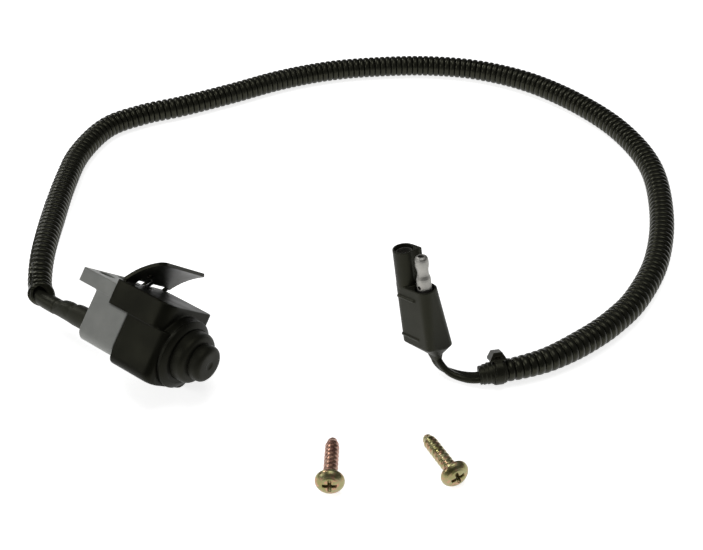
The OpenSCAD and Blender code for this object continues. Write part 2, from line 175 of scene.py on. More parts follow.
# Every finish by its key. Some keys are also the names of slots.
MATS = {
    "grey_shell": material("grey_moulding", (0.155, 0.16, 0.147), (0.225, 0.23, 0.212), (0.42, 0.55),
                           bump=0.25, edge_colour=(0.36, 0.36, 0.34)),
    "black_shell": plastic("black_moulding", 0.0036, (0.36, 0.5), bump=0.25, specular=0.11),
    "flap_black": plastic("flap_moulding", 0.0045, (0.28, 0.4), bump=0.2, specular=0.15),
    "black_rubber": plastic("black_rubber", 0.0066, (0.42, 0.58), grain=1800, bump=0.3, specular=0.14),
    "sleeve_rubber": plastic("sleeve_rubber", 0.0145, (0.42, 0.58), grain=1800, bump=0.3, specular=0.2),
    "nylon": material("natural_nylon", (0.72, 0.7, 0.62), (0.8, 0.78, 0.7), (0.4, 0.5)),
    "spring_steel": material("spring_steel", (0.5, 0.5, 0.5), (0.62, 0.62, 0.6), (0.2, 0.35), metallic=1.0),
    "contact_brass": material("contact_brass", (0.7, 0.5, 0.2), (0.78, 0.6, 0.28), (0.22, 0.4), metallic=1.0),
    "cable_black": plastic("cable_jacket", 0.01, (0.34, 0.48), bump=0.2, specular=0.22),
    "loom_black": plastic("loom_polymer", 0.005, (0.27, 0.38), bump=0.15, patch=60, specular=0.3),
    "tape_black": plastic("wound_tape", 0.009, (0.38, 0.5), grain=1500, bump=0.3, specular=0.22),
    "tie_black": plastic("tie_nylon", 0.007, (0.32, 0.44), bump=0.15, specular=0.2),
    "plug_black": plastic("plug_moulding", 0.011, (0.38, 0.52), bump=0.3, specular=0.2),
    "tin_plate": material("tin_plate", (0.31, 0.305, 0.28), (0.44, 0.43, 0.4), (0.4, 0.54), patch=300,
                          metallic=1.0),
    "yellow_zinc": material("olive_zinc", (0.25, 0.23, 0.085), (0.37, 0.35, 0.2), (0.28, 0.42), patch=260,
                            metallic=1.0, third=(0.46, 0.27, 0.17)),
    "pink_zinc": material("pink_zinc", (0.34, 0.17, 0.12), (0.44, 0.28, 0.2), (0.32, 0.46), patch=260,
                          metallic=1.0, third=(0.26, 0.13, 0.1)),
}


# ---- mesh helpers ----

X, Y, Z = Vector((1, 0, 0)), Vector((0, 1, 0)), Vector((0, 0, 1))
# Least radius of a turned ring. It keeps the points of a tip apart.
TIP_R = 0.01


def loft(rings, loop=False):
    """A closed solid through rings of equal length, capped at both ends or joined end to end.

    A solid is a list of points and a list of faces, in millimetres. merged() turns solids into a mesh.
    """
    sides, count = len(rings[0]), len(rings)
    faces = []
    for i in range(count if loop else count - 1):
        a, b = i * sides, (i + 1) % count * sides
        faces += [(a + k, a + (k + 1) % sides, b + (k + 1) % sides, b + k) for k in range(sides)]
    if not loop:
        faces += [tuple(range(sides)), tuple(range((count - 1) * sides, count * sides))]
    return [tuple(p) for ring in rings for p in ring], faces


def turn(sides, k):
    """Angle of step k out of this many round a circle."""
    return 2 * pi * k / sides


def circle(centre, u, v, r, sides):
    """Ring of points round a centre, in the plane of u and v."""
    return [centre + u * (r * cos(turn(sides, k))) + v * (r * sin(turn(sides, k))) for k in range(sides)]


def block(x, y, z):
    """Box between two places on each axis."""
    return loft([[(x[0], y[0], h), (x[1], y[0], h), (x[1], y[1], h), (x[0], y[1], h)] for h in z])


def rod_x(x0, x1, r, y=0.0, z=0.0, sides=64):
    """Round rod along X."""
    return loft([circle(Vector((x, y, z)), Y, Z, r, sides) for x in (x0, x1)])


def rod_y(y0, y1, r, x, z, sides=40):
    """Round rod along Y."""
    return loft([circle(Vector((x, y, z)), Z, X, r, sides) for y in (y0, y1)])


def rod_z(z0, z1, r, x=0.0, y=0.0, sides=64):
    """Round rod along Z."""
    return loft([circle(Vector((x, y, z)), X, Y, r, sides) for z in (z0, z1)])


def turned_x(profile, sides=96, y=0.0, z=0.0, loop=False):
    """Solid turned about a line along X. Its profile is pairs of place and radius."""
    return loft([circle(Vector((x, y, z)), Y, Z, max(r, TIP_R), sides) for x, r in profile], loop)


def turned_z(profile, sides=96):
    """Solid turned about Z. Its profile is pairs of radius and height."""
    return loft([circle(Vector((0, 0, z)), X, Y, max(r, TIP_R), sides) for r, z in profile])


def arc(cx, cy, r, start, end, steps=8):
    """Points on an arc between two angles in degrees."""
    return [(cx + r * cos(radians(start + (end - start) * i / steps)),
             cy + r * sin(radians(start + (end - start) * i / steps))) for i in range(steps + 1)]


def bar_outline(half, z0, z1, r):
    """Section of a bar along X whose two lower edges are rounded."""
    return ([(half, z1), (-half, z1)] + arc(-half + r, z0 + r, r, 180, 270)
            + arc(half - r, z0 + r, r, 270, 360))


def rounded_bar(x0, x1, half, z0, z1, r):
    """Bar along X whose two lower edges are rounded."""
    return loft([[(x, y, z) for y, z in bar_outline(half, z0, z1, r)] for x in (x0, x1)])


def convex(points):
    """Convex hull of points."""
    bm = bmesh.new()
    for p in points:
        bm.verts.new(p)
    bmesh.ops.convex_hull(bm, input=bm.verts)
    bmesh.ops.delete(bm, geom=[v for v in bm.verts if not v.link_faces], context="VERTS")
    bm.verts.index_update()
    made = [tuple(v.co) for v in bm.verts], [tuple(v.index for v in f.verts) for f in bm.faces]
    bm.free()
    return made


def merged(parts):
    """One mesh from several solids, with every face turned outwards."""
    verts, faces = [], []
    for part_verts, part_faces in parts:
        start = len(verts)
        verts += part_verts
        faces += [tuple(start + i for i in f) for f in part_faces]
    mesh = bpy.data.meshes.new("part")
    mesh.from_pydata(verts, [], faces)
    bm = bmesh.new()
    bm.from_mesh(mesh)
    bmesh.ops.recalc_face_normals(bm, faces=bm.faces)
    bm.to_mesh(mesh)
    bm.free()
    return mesh


def moulded(parts, cuts, voxel=0.25, rounds=6):
    """One skin round overlapping solids, less the cuts, with the small fillets of a moulding on its edges.

    A finer voxel or fewer rounds of smoothing leave sharper edges.
    """
    work = [bpy.data.objects.new("work", merged(s)) for s in (parts, cuts) if s]
    for o in work:
        bpy.context.scene.collection.objects.link(o)
    base = work[0]
    if cuts:
        cut = base.modifiers.new("cut", "BOOLEAN")
        cut.operation, cut.solver, cut.use_self, cut.object = "DIFFERENCE", "EXACT", True, work[1]
    remesh = base.modifiers.new("skin", "REMESH")
    remesh.mode, remesh.voxel_size = "VOXEL", voxel
    relax = base.modifiers.new("round", "SMOOTH")
    relax.factor, relax.iterations = 0.5, rounds
    mesh = bpy.data.meshes.new_from_object(base.evaluated_get(bpy.context.evaluated_depsgraph_get()))
    for o in work:
        old = o.data
        bpy.data.objects.remove(o)
        bpy.data.meshes.remove(old)
    return mesh


def piece(name, mesh, place, finish, nodes, body="housing", sharp=40):
    """Turns a mesh into a finished piece in the shared frame.

    place is the frame that the mesh was made in, in millimetres. nodes are the CAD nodes that the piece
    replaces. Edges steeper than sharp degrees keep a crease.
    """
    mesh.transform(Matrix.Scale(MM, 4) @ place)
    mesh.name = name
    mesh.materials.clear()
    mesh.materials.append(MATS[finish])
    mesh.shade_smooth()
    mesh.set_sharp_from_angle(angle=radians(sharp))
    obj = bpy.data.objects.new(name, mesh)
    bpy.context.scene.collection.objects.link(obj)
    if body:
        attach(obj, body)
    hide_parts(*nodes)
    return obj


# ---- routes ----

def spline(points, per):
    """Catmull-Rom points, as the CAD model's routes have them."""
    out, last = [], len(points) - 1
    for i in range(last):
        a, b, c, d = points[max(i - 1, 0)], points[i], points[i + 1], points[min(i + 2, last)]
        for k in range(per):
            t = k / per
            out.append(0.5 * (2 * b + (c - a) * t + (2 * a - 5 * b + 4 * c - d) * t * t
                              + (3 * b - a - 3 * c + d) * t ** 3))
    return out + [points[-1]]


def route_length(points):
    """Length along a route."""
    return sum((b - a).length for a, b in zip(points, points[1:]))


def along(points, places):
    """Points and directions at these distances along a route."""
    out, i, done = [], 0, 0.0
    for s in places:
        while i < len(points) - 2 and done + (points[i + 1] - points[i]).length < s:
            done += (points[i + 1] - points[i]).length
            i += 1
        a, b = points[i], points[i + 1]
        t = (s - done) / (b - a).length
        ahead = points[min(i + 2, len(points) - 1)] - points[max(i - 1, 0)]
        out.append((a.lerp(b, t), ahead.normalized()))
    return out


def even_places(length, count):
    """Distances at equal steps along a route, the last one a hair short of its end."""
    return [i * (length - 0.001) / count for i in range(count + 1)]


def sides_of(direction, up=Z):
    """Two directions across a route: sideways, and as near to up as can be."""
    side = direction.cross(up).normalized()
    return side, side.cross(direction)


# Middles of the loom and of the twin cable, in the shared frame.
LOOM_ROUTE = [Vector(p) for p in (
    (-78.6, 36.9, 13.5), (-81.5, 43.7, 13.5), (-84.4, 61.4, 13), (-86.7, 87.6, 10), (-88.1, 115.8, 7),
    (-86.7, 140.4, 5.3), (-78.2, 161.6, 5), (-63.1, 172.6, 5), (-45.1, 180, 5), (-22.1, 191.4, 5),
    (1.1, 203.8, 5), (25.7, 212.6, 5), (50.9, 216.6, 5), (76.5, 217.4, 5), (101.5, 213, 5),
    (125.6, 201.2, 5), (147.2, 181, 5), (162.6, 157.2, 5), (170.1, 129.2, 5), (167.4, 96.2, 5),
    (158.9, 67.1, 5), (146.6, 45.1, 5), (134.7, 31.7, 5), (122.4, 21.7, 5), (108.8, 13.2, 5),
    (97.3, 8.7, 5), (88.9, 6.9, 4.7))]
CABLE_ROUTE = [Vector(p) for p in (
    (92.7, 7.6, 4.5), (86.5, 6.4, 3.8), (81.3, 5.8, 2.7), (76.8, 7.2, 1.7), (72.5, 8.8, 2),
    (69.6, 10.3, 3.1), (67.5, 12.1, 4.9), (66.7, 13.5, 7.2))]
# Height of the lead's hole in the housing's frame.
LEAD_Z = -8
# The lead sinks by SAG_DEPTH between SAG_FROM and SAG_REACH further out, slowly at first.
SAG_DEPTH, SAG_FROM, SAG_REACH, SAG_POWER = 1.35, -18, 13.4, 1.5


def sag(x):
    """Where the lead's middle lies in the housing's frame: it sinks a little towards the loom."""
    drop = SAG_DEPTH * min(1, max(0, (SAG_FROM - x) / SAG_REACH)) ** SAG_POWER
    return Vector((x, 0, LEAD_Z)) - drop * (HOUSING.to_3x3().inverted() @ VIEW_UP)


# The lead runs out of the housing inside its sleeve, and then bends into the loom's mouth.
LEAD_ROUTE = [HOUSING @ sag(x) for x in (-4, -14, -19, -24, -31)] + [
    Vector(p) for p in ((-80.1, 38.4, 11.8), (-81.6, 41.4, 12.7), (-82.4, 44.6, 13.4), (-82.7, 47.8, 13.7))]

# Radius over the ridges and in the grooves, and length of one ridge with its groove.
LOOM_R, GROOVE_R, PITCH = 5.0, 4.2, 2.75
# The loom is narrower at its ends: radius at each end, and how fast it grows away from it.
START_R, START_GROWTH, END_R, END_GROWTH = 4.4, 0.012, 4.1, 0.027
# The slit's angle at the start, how far it turns in each millimetre, half its width and its depth.
SLIT_AT, SLIT_TURN, SLIT_HALF, SLIT_DEPTH = 2.2, 0.006, 0.09, 0.1
# Places across one ridge, from groove to groove, and how far each stands up from the groove to the crest.
RIDGE = ((0.0, 0.0), (0.1, 0.5), (0.2, 0.84), (0.5, 1.0), (0.8, 0.84), (0.9, 0.5))
LOOM_SIDES = 40
MOUTH_R, MOUTH_DEPTH = 3.75, 12.0
# The loom's open end is cut aslant: how far its two sides are moved along it, and how far in that fades out.
SET_BACK, REACH_OUT, SLANT_REACH = 2.4, 1.9, 9.0
# Which way the open end's set-back side faces.
SLANT_UPPER = Vector((-0.37, -0.16, 0.92))


def slant_ring(ring, path, s):
    """Sets back the side of the open end that faces up and lets the other side reach out over the lead."""
    (centre, direction), = along(path, (s,))
    for k, p in enumerate(ring):
        facing = 0.5 + 0.5 * (p - centre).normalized().dot(SLANT_UPPER)
        shift = SET_BACK * facing - REACH_OUT * (1 - facing)
        ring[k] = p + direction * (shift * (1 - s / SLANT_REACH))


def make_loom():
    """Split corrugated conduit: rounded ridges with narrow grooves, a slit along it and an open mouth."""
    path = spline(LOOM_ROUTE, 16)
    length = route_length(path)
    turns = int(length / PITCH)
    places, heights = [], []
    for n in range(turns):
        for part, height in RIDGE:
            places.append((n + part) * length / turns)
            heights.append(height)
    # The last ring stops a hair short of the end.
    places.append(length - 0.01)
    heights.append(0.0)
    rings = []
    for i, ((centre, direction), height) in enumerate(zip(along(path, places), heights)):
        start, left = places[i], length - places[i]
        crest = min(LOOM_R, START_R + START_GROWTH * start, END_R + END_GROWTH * left)
        groove = crest - (LOOM_R - GROOVE_R)
        slit = SLIT_AT + SLIT_TURN * start
        side, up = sides_of(direction)
        ring = []
        for k in range(LOOM_SIDES):
            a = turn(LOOM_SIDES, k)
            gap = abs((a - slit + pi) % (2 * pi) - pi)
            r = groove + (crest - groove) * height
            if gap < SLIT_HALF:
                r = min(r, groove - SLIT_DEPTH)
            ring.append(centre + side * (r * cos(a)) + up * (r * sin(a)))
        rings.append(ring)
    # along() doesn't step back, so these rings lie on one straight line through the deepest of them.
    inner_places = (MOUTH_DEPTH, MOUTH_DEPTH / 2, 0.0)
    mouth = [circle(c, *sides_of(d), MOUTH_R, LOOM_SIDES) for c, d in along(path, inner_places)]
    for ring, s in [*zip(mouth, inner_places), *zip(rings, places)]:
        if s < SLANT_REACH:
            slant_ring(ring, path, s)
    obj = piece("corrugated_loom", merged([loft(mouth + rings)]), WORLD, "loom_black", ["loom"], sharp=50)
    return obj, path, length


def tube(path, step, section, sides):
    """A solid along a path. section gives each ring's sideways and upward reach at a place and an angle."""
    length = route_length(path)
    places = even_places(length, max(2, round(length / step)))
    rings = []
    for s, (centre, direction) in zip(places, along(path, places)):
        side, up = sides_of(direction)
        rings.append([centre + side * w + up * h
                      for w, h in (section(s, length, turn(sides, k)) for k in range(sides))])
    return loft(rings)


# The lead's radius inside the sleeve, how much wider it is outside, and where along it that change is.
LEAD_R, LEAD_WIDER, LEAD_CHANGE, LEAD_CHANGE_LEN = 2.6, 0.5, 25.5, 1.5


def lead_section(s, _, a):
    """The lead is slim inside its sleeve and a little wider from the sleeve's end on."""
    r = LEAD_R + LEAD_WIDER * min(1, max(0, (s - LEAD_CHANGE) / LEAD_CHANGE_LEN))
    return r * cos(a), r * sin(a)


def make_lead():
    """Lead between the housing and the loom's mouth."""
    mesh = merged([tube(spline(LEAD_ROUTE, 8), 0.6, lead_section, 32)])
    piece("lead_wires_jacket", mesh, WORLD, "cable_black", ["lead_wires"])


# A core's radius, half the angle that it shows of its round, its middle's distance from the cable's middle at
# the plug, and how much further out it is at the tape.
CORE_R, CORE_HALF_ARC, CORE_OUT, CORE_OUT_MORE = 1.28, 118, 1.0, 0.5
CORE_STEPS = 12


def make_twin_cable():
    """Flat cable of two cores. It turns from lying flat at the tape to the plug's own width."""
    path = spline(CABLE_ROUTE, 8)
    length = route_length(path)
    places = even_places(length, 48)
    plug_width = PLUG.to_3x3() @ X
    rings = []
    for s, (centre, direction) in zip(places, along(path, places)):
        flat, _ = sides_of(direction)
        flat *= 1 if flat.dot(plug_width) > 0 else -1
        t = s / length
        wide = flat.lerp(plug_width, t * t * (3 - 2 * t))
        wide = (wide - direction * wide.dot(direction)).normalized()
        thick = wide.cross(direction)
        apart = CORE_OUT + CORE_OUT_MORE * (1 - t) ** 2
        ring = []
        for sign in (1, -1):
            for k in range(CORE_STEPS + 1):
                a = radians(-CORE_HALF_ARC + 2 * CORE_HALF_ARC * k / CORE_STEPS)
                ring.append(centre + wide * (sign * (apart + CORE_R * cos(a)))
                            + thick * (sign * CORE_R * sin(a)))
        rings.append(ring)
    obj = piece("twin_cable", merged([loft(rings)]), WORLD, "cable_black", ["plug_cable"], sharp=60)
    return obj, path, length


loom, loom_path, loom_length = make_loom()
twin_cable, cable_path, cable_length = make_twin_cable()
make_lead()


# ---- tape, tie and plug ----

TAPE_ROUTE = [Vector(p) for p in ((91, 7.37, 4.78), (88.9, 6.9, 4.7), (82.1, 5.9, 3.7))]
# The tape's radius on the loom, how much narrower it gets at the cable, and the share of it that stays wide.
TAPE_R, TAPE_NARROWS, TAPE_EVEN = 4.4, 1.1, 0.25
# How far one turn of tape moves on, how deep its inner edge lies, how high its outer edge stands over that,
# and the height of its creases.
WIND, TAPE_SUNK, TAPE_STEP, TAPE_CREASE = 1.5, 0.15, 0.36, 0.06


def make_tape():
    """Tape wound in a spiral over the loom's end, each turn's edge standing up a little."""
    def section(s, length, a):
        """The windings' reach sideways and up, at a distance along the tape and an angle round it."""
        t = s / length
        base = TAPE_R - TAPE_NARROWS * max(0, t - TAPE_EVEN) / (1 - TAPE_EVEN)
        step = (s / WIND + a / (2 * pi)) % 1
        r = base - TAPE_SUNK + TAPE_STEP * step + TAPE_CREASE * sin(3 * a + s)
        return r * cos(a), r * sin(a)
    mesh = merged([tube(spline(TAPE_ROUTE, 8), 0.3, section, 48)])
    return piece("end_tape_winding", mesh, WORLD, "tape_black", ["end_tape"])


TIE_R, TIE_W = 4.4, 3.2
TIE_AT, TIE_HEADING, TIE_ROLL = (88.7, 6.9, 4.95), 10, -30


def make_tie():
    """A cable tie: a flat band, and a head that narrows away from it, with its slot and cut tail."""
    place = (Matrix.Translation(TIE_AT) @ Matrix.Rotation(radians(TIE_HEADING), 4, "Z")
             @ Matrix.Rotation(radians(TIE_ROLL), 4, "X"))
    half = TIE_W / 2
    band = loft([circle(Vector((x, 0, 0)), Y, Z, r, 72) for x, r in (
        (-half, TIE_R + 0.05), (-half, TIE_R + 0.45), (-half + 0.25, TIE_R + 0.55),
        (half - 0.25, TIE_R + 0.55), (half, TIE_R + 0.45), (half, TIE_R + 0.05))], loop=True)
    z0 = TIE_R - 0.1
    # Heights up the head, each with half its width and half its thickness.
    levels = ((0, 3.0, 2.5), (0.7, 3.0, 2.6), (1.9, 2.3, 2.5), (3.2, 1.6, 2.2))
    head = loft([[(-w, -t, z0 + h), (w, -t, z0 + h), (w, t, z0 + h), (-w, t, z0 + h)] for h, w, t in levels])
    tail = block((-1.1, 1.1), (2, 3.3), (z0 + 0.9, z0 + 1.8))
    slot = block((-1.2, 1.2), (-4, -1.9), (z0 + 1, z0 + 1.9))
    mesh = moulded([band, head, tail], [slot], 0.16, 3)
    return piece("cable_tie_moulding", mesh, place, "tie_black", ["cable_tie"])


# The plug's frame has its face at height 0 and its two poles at POLE either side of the middle.
POLE = 4.1
TOWER_H, PIN_H, PLUG_LEN = 13.2, 12.6, 30
# The socket tower, its bore and its wider mouth.
TOWER_R, SOCKET_R, SOCKET_MOUTH_R, MOUTH_DEEP = 4.0, 2.9, 3.3, 2.0
# The hole that holds the pin, the moat round the pin's foot and the clear space over it.
PIN_HOLE_R, MOAT_R, MOAT_DEEP, CLEAR_R = 2, 3.4, 2.5, 4.3
# The ends of cuts lie this far past the tower's top and over the plug's face, so that no faces meet.
PAST, OVER = 2, 1


def pads(w, t, z, r):
    """Rims of four upright corner posts, half a millimetre tall, whose hull is a plate with round corners.

    w and t are the plate's two sides, z is its height and r is its corners' radius.
    """
    return [Vector((cw + r * cos(turn(24, k)), ct + r * sin(turn(24, k)), h))
            for cw in (w[0] + r, w[1] - r) for ct in (t[0] + r, t[1] - r)
            for h in (z, z + 0.5) for k in range(24)]


def make_plug():
    """Plug body: a slab that thickens to its foot, a neck round the cable, the socket tower and two ribs."""
    shoulder = pads((-8, 8.1), (-3.9, 4), -0.5, 3.4)
    foot = pads((-6.6, 8), (-4.2, 2), -23.2, 2.2) + pads((-6.6, 8), (1.6, 8), -25.6, 2.2)
    neck = pads((-0.4, 5.4), (1.1, 5.2), 1 - PLUG_LEN, 1.6)
    neck_end = pads((0.7, 4.9), (1.6, 4.7), -1.5 - PLUG_LEN, 1.3)
    ribs = [block((-5.7, 2.6), (-4.55, -2.5), (z, z + 0.9)) for z in (-4.6, -20.4)]
    parts = [
        convex(shoulder + foot),
        convex(foot + neck),
        convex(neck + neck_end),
        rod_z(-1, TOWER_H, TOWER_R, -POLE),
        # The tower's square corner, on the pin's side.
        block((-POLE, -POLE + 4.7), (0.4, TOWER_R), (-1, TOWER_H)),
        *ribs,
    ]
    cuts = [
        rod_z(1, TOWER_H + PAST, SOCKET_R, -POLE),
        rod_z(TOWER_H - MOUTH_DEEP, TOWER_H + PAST, SOCKET_MOUTH_R, -POLE),
        rod_z(-MOAT_DEEP, OVER, MOAT_R, POLE),
        rod_z(0, TOWER_H + PAST, CLEAR_R, POLE),
        rod_z(-8, OVER, PIN_HOLE_R, POLE),
    ]
    return piece("plug_moulding", moulded(parts, cuts, 0.2, 5), PLUG, "plug_black", ["plug_body"])


def make_pin():
    """Bullet pin with a soft waist, and its cross hole and open tip."""
    profile = [(0, -8), (1.95, -8), (1.95, -MOAT_DEEP), (2.5, -MOAT_DEEP), (2.58, 0), (2.58, 3.5),
               (2.5, 4.3), (2.32, 4.9), (2.14, 5.5), (2.06, 6.3), (2.06, 7.1), (2.14, 7.8), (2.3, 8.5),
               (2.42, 9.1), (2.45, 10), (2.42, 11), (2.3, 11.7), (2.05, 12.2), (1.7, 12.5), (1.3, PIN_H),
               (0, PIN_H)]
    open_tip = rod_z(PIN_H - 4, PIN_H + 2, 1, 0)
    cross_hole = loft([circle(Vector((0, y, 1.2)), X, Z, 0.7, 32) for y in (-5, 0)])
    mesh = moulded([turned_z(profile)], [open_tip, cross_hole], 0.11, 2)
    return piece("bullet_pin", mesh, PLUG @ Matrix.Translation((POLE, 0, 0)), "tin_plate", ["male_pin"])


tape, tie, plug, pin = make_tape(), make_tie(), make_plug(), make_pin()


# ---- housing ----

# The housing's frame: X runs from the lead to the nose, Y across and Z up through the cap.
HALF_W = 13.5
# Places of the joint between the shells, of the front face and of the rear face.
JOINT_X, FRONT_X, REAR_X = 9.2, 27.5, -7.6
CAP_LEN, CAP_Z0, CAP_Z1 = 24.5, 4.0, 13.2
FLANGE_Z0, FLANGE_Z1 = 5.9, 11.1
HOLE_X, HOLE_Y, HOLE_R = -11.3, 5.5, 3
BUSH_R, BOOT_R = 5.6, 9.4
# The plunger's axis is a little below the middle of the housing's frame.
AXIS_Z = -0.9
# Radius of the front shell's upright front edges.
EDGE_R = 3.4
HINGE_X, HINGE_Z = 2.2, 11.8
# The flap's legs: where each begins across the housing, and its width.
LEGS = ((-12.5, 5.5), (-1.5, 3.2), (11.3, 1.4))


def make_rear_shell():
    """Hollow grey box, open to the front, with a flange behind the cap and a tongue that reaches into it."""
    half = 12.7
    # The outside ends a hair behind the cap, whose back is at 0.
    cap_back = -0.05
    parts = [
        rounded_bar(REAR_X, JOINT_X - 0.6, half, -13, CAP_Z0, 5),
        block((REAR_X, cap_back), (-half, half), (CAP_Z0 - 0.1, FLANGE_Z0 + 0.1)),
        block((-16, cap_back), (-13.1, 13.1), (FLANGE_Z0, FLANGE_Z1)),
        block((-1, 8), (-10.5, 10.5), (FLANGE_Z0 + 0.3, FLANGE_Z1 - 1.4)),
    ]
    cavity = rounded_bar(REAR_X + 2, JOINT_X + 1, 10.7, -11, CAP_Z0 - 0.6, 3)
    lead_hole = rod_x(REAR_X - 1, REAR_X + 3, 3.6, 0, LEAD_Z)
    screw_holes = [rod_z(FLANGE_Z0 - 1, FLANGE_Z1 + 1, HOLE_R, HOLE_X, side * HOLE_Y) for side in (-1, 1)]
    cuts = [cavity, lead_hole, *screw_holes]
    piece("rear_shell_moulding", moulded(parts, cuts, 0.25, 5), HOUSING, "grey_shell", ["rear_shell"])


def make_front_shell():
    """Black shell: a body with rounded front edges, the cap over it and the collar behind the bezel."""
    # Radii of the cap's two front corners, seen from above.
    near, far = 4.8, 2.5
    plan = ([(0, HALF_W), (0, -HALF_W)] + arc(CAP_LEN - near, -HALF_W + near, near, 270, 360)
            + arc(CAP_LEN - far, HALF_W - far, far, 0, 90))
    # Half the length of the pockets that the flap's legs stand in.
    reach = 1.5
    body = []
    for x in (JOINT_X, *(FRONT_X - EDGE_R * (1 - i / 6) for i in range(7))):
        half = 13 - EDGE_R + sqrt(EDGE_R ** 2 - max(0, x - FRONT_X + EDGE_R) ** 2)
        body.append([(x, y, z) for y, z in bar_outline(half, -14.6, CAP_Z0 + 0.1, 3.5)])
    parts = [
        loft(body),
        loft([[(x, y, z) for x, y in plan] for z in (CAP_Z0, CAP_Z1)]),
        rod_x(JOINT_X + 10, FRONT_X, 12, 0, AXIS_Z, 96),
    ]
    pocket_z = (HINGE_Z - reach, CAP_Z1 + 1)
    cuts = [block((HINGE_X - reach, HINGE_X + reach + 0.6), (y - 0.25, y + n + 0.25), pocket_z)
            for y, n in LEGS]
    cuts += [
        # The flap spring's pocket.
        block((HINGE_X - reach, HINGE_X + reach), (-3.75, -1.55), pocket_z),
        # The slot for the rear shell's tongue.
        block((-1, 8.1), (-10.6, 10.6), (FLANGE_Z0 + 0.2, FLANGE_Z1 - 1.3)),
        # The plunger's chamber, the bush's seat and the boot's seat.
        rod_x(JOINT_X - 5, 20.2, 7, 0, AXIS_Z),
        rod_x(19.2, FRONT_X + 1, BUSH_R, 0, AXIS_Z),
        rod_x(FRONT_X - 1.2, FRONT_X + 1, BOOT_R + 0.8, 0, AXIS_Z),
    ]
    mesh = moulded(parts, cuts, 0.25, 9)
    piece("front_shell_moulding", mesh, HOUSING, "black_shell", ["front_shell"])


def make_bezel():
    """Sloping ring round the boot, with a spigot that holds the boot's rim."""
    # The ring's middle is a little to one side of the boot's and below it.
    ring = turned_x([(FRONT_X, 3), (FRONT_X, 12.6), (FRONT_X + 1.3, 12.7), (FRONT_X + 2.0, 11.6),
                     (FRONT_X + 2.5, 10.5), (FRONT_X + 2.5, 3)], 96, -0.3, AXIS_Z - 0.7)
    spigot = rod_x(FRONT_X - 1.2, FRONT_X + 1, BOOT_R + 0.7, 0, AXIS_Z, 96)
    opening = rod_x(FRONT_X - 3, FRONT_X + 4, BOOT_R, 0, AXIS_Z, 96)
    mesh = moulded([ring, spigot], [opening], 0.2, 5)
    piece("bezel_moulding", mesh, HOUSING, "black_shell", ["boot_bezel"])


def make_boot():
    """Stepped rubber boot: soft shoulders, a groove round its tip and a dimple in its middle."""
    rim = [(FRONT_X - 1.1, BUSH_R + 0.2), (FRONT_X - 1.1, 9.3), (FRONT_X + 5.2, 9.36)]
    # Places in front of the housing's face, each with its radius.
    outside = [(FRONT_X + x, r) for x, r in (
        (5.8, 9.3), (6.4, 9.1), (6.9, 8.75), (7.25, 8.2), (7.42, 7.5), (7.5, 6.9), (7.55, 6.35),
        (7.75, 6.35), (8.0, 6.6), (8.5, 6.68), (10.3, 6.65), (10.9, 6.5), (11.4, 6.2), (11.8, 5.75),
        (12.05, 5.2), (12.1, 4.6), (12.1, 1.9), (12.05, 1.6), (11.85, 1.3), (11.7, 0.9), (11.68, 0.02))]
    inside = [(FRONT_X + x, r) for x, r in (
        (10.8, 0.02), (10.8, 5.2), (10.5, 5.3), (6.4, 5.3), (6, 7.9), (0, 7.9), (0, BUSH_R + 0.2))]
    mesh = merged([turned_x(rim + outside + inside, 96, 0, AXIS_Z, loop=True)])
    obj = piece("boot_moulding", mesh, HOUSING, "black_rubber", ["rubber_boot"], body=None, sharp=35)
    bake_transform(obj)


# The flap's curve, seen along the hinge: its centre, its outer radius and its thickness.
FLAP_C, FLAP_R, FLAP_T = (29.01, -4.09), 33.0, 1.3
# The angle of its tip, the angle from there to its foot, and the radii of its tip's two corners.
FLAP_TIP, FLAP_SWEEP, NEAR_CORNER, FAR_CORNER = 116.28, 32.12, 2.5, 1.5


def make_flap():
    """Curved plate on three legs, with the hinge pin's hole through them and a small hole near the tip."""
    arc_len = radians(FLAP_SWEEP) * FLAP_R
    places = [0, 0.1, 0.3, 0.6, 1, 1.5, 2, NEAR_CORNER]
    places += [NEAR_CORNER + (arc_len - NEAR_CORNER) * i / 16 for i in range(1, 17)]

    def inset(s, r):
        """How far a corner of radius r draws the edge in at a distance s from the tip."""
        return 0 if s >= r else r - sqrt(r * r - (r - s) ** 2)
    rings = []
    for s in places:
        a = radians(FLAP_TIP) + s / FLAP_R
        y0, y1 = -HALF_W + inset(s, NEAR_CORNER), HALF_W - inset(s, FAR_CORNER)
        rings.append([(FLAP_C[0] + r * cos(a), y, FLAP_C[1] + r * sin(a))
                      for r, y in ((FLAP_R - FLAP_T, y0), (FLAP_R, y0), (FLAP_R, y1), (FLAP_R - FLAP_T, y1))])
    parts = [loft(rings)]
    for y, n in LEGS:
        parts += [rod_y(y, y + n, 1.25, HINGE_X, HINGE_Z),
                  block((HINGE_X - 1.1, HINGE_X + 0.3), (y, y + n), (HINGE_Z, CAP_Z1 + 0.1))]
    foot = (-1, HINGE_X + 3)
    cuts = [rod_y(-15, 15, 0.75, HINGE_X, HINGE_Z)]
    # Between and beside the legs the plate ends above the cap.
    for (y, n), (following, _) in zip(LEGS, LEGS[1:]):
        cuts.append(block(foot, (y + n, following), (HINGE_Z - 2, CAP_Z1 + 1.5)))
    cuts += [block(foot, y, (HINGE_Z - 2, CAP_Z1 + 0.8)) for y in ((-14.5, LEGS[0][0]), (12.7, 14.5))]
    hole_at, hole_along = Vector((5, -5.5, 18.7)), Vector((-0.707, 0, 0.707))
    cuts.append(loft([circle(hole_at + hole_along * d, Y, hole_along.cross(Y), 0.95, 32) for d in (-4, 4)]))
    mesh = moulded(parts, cuts, 0.18, 4)
    piece("flap_moulding", mesh, HOUSING, "flap_black", ["flap"], body="flap_plate")


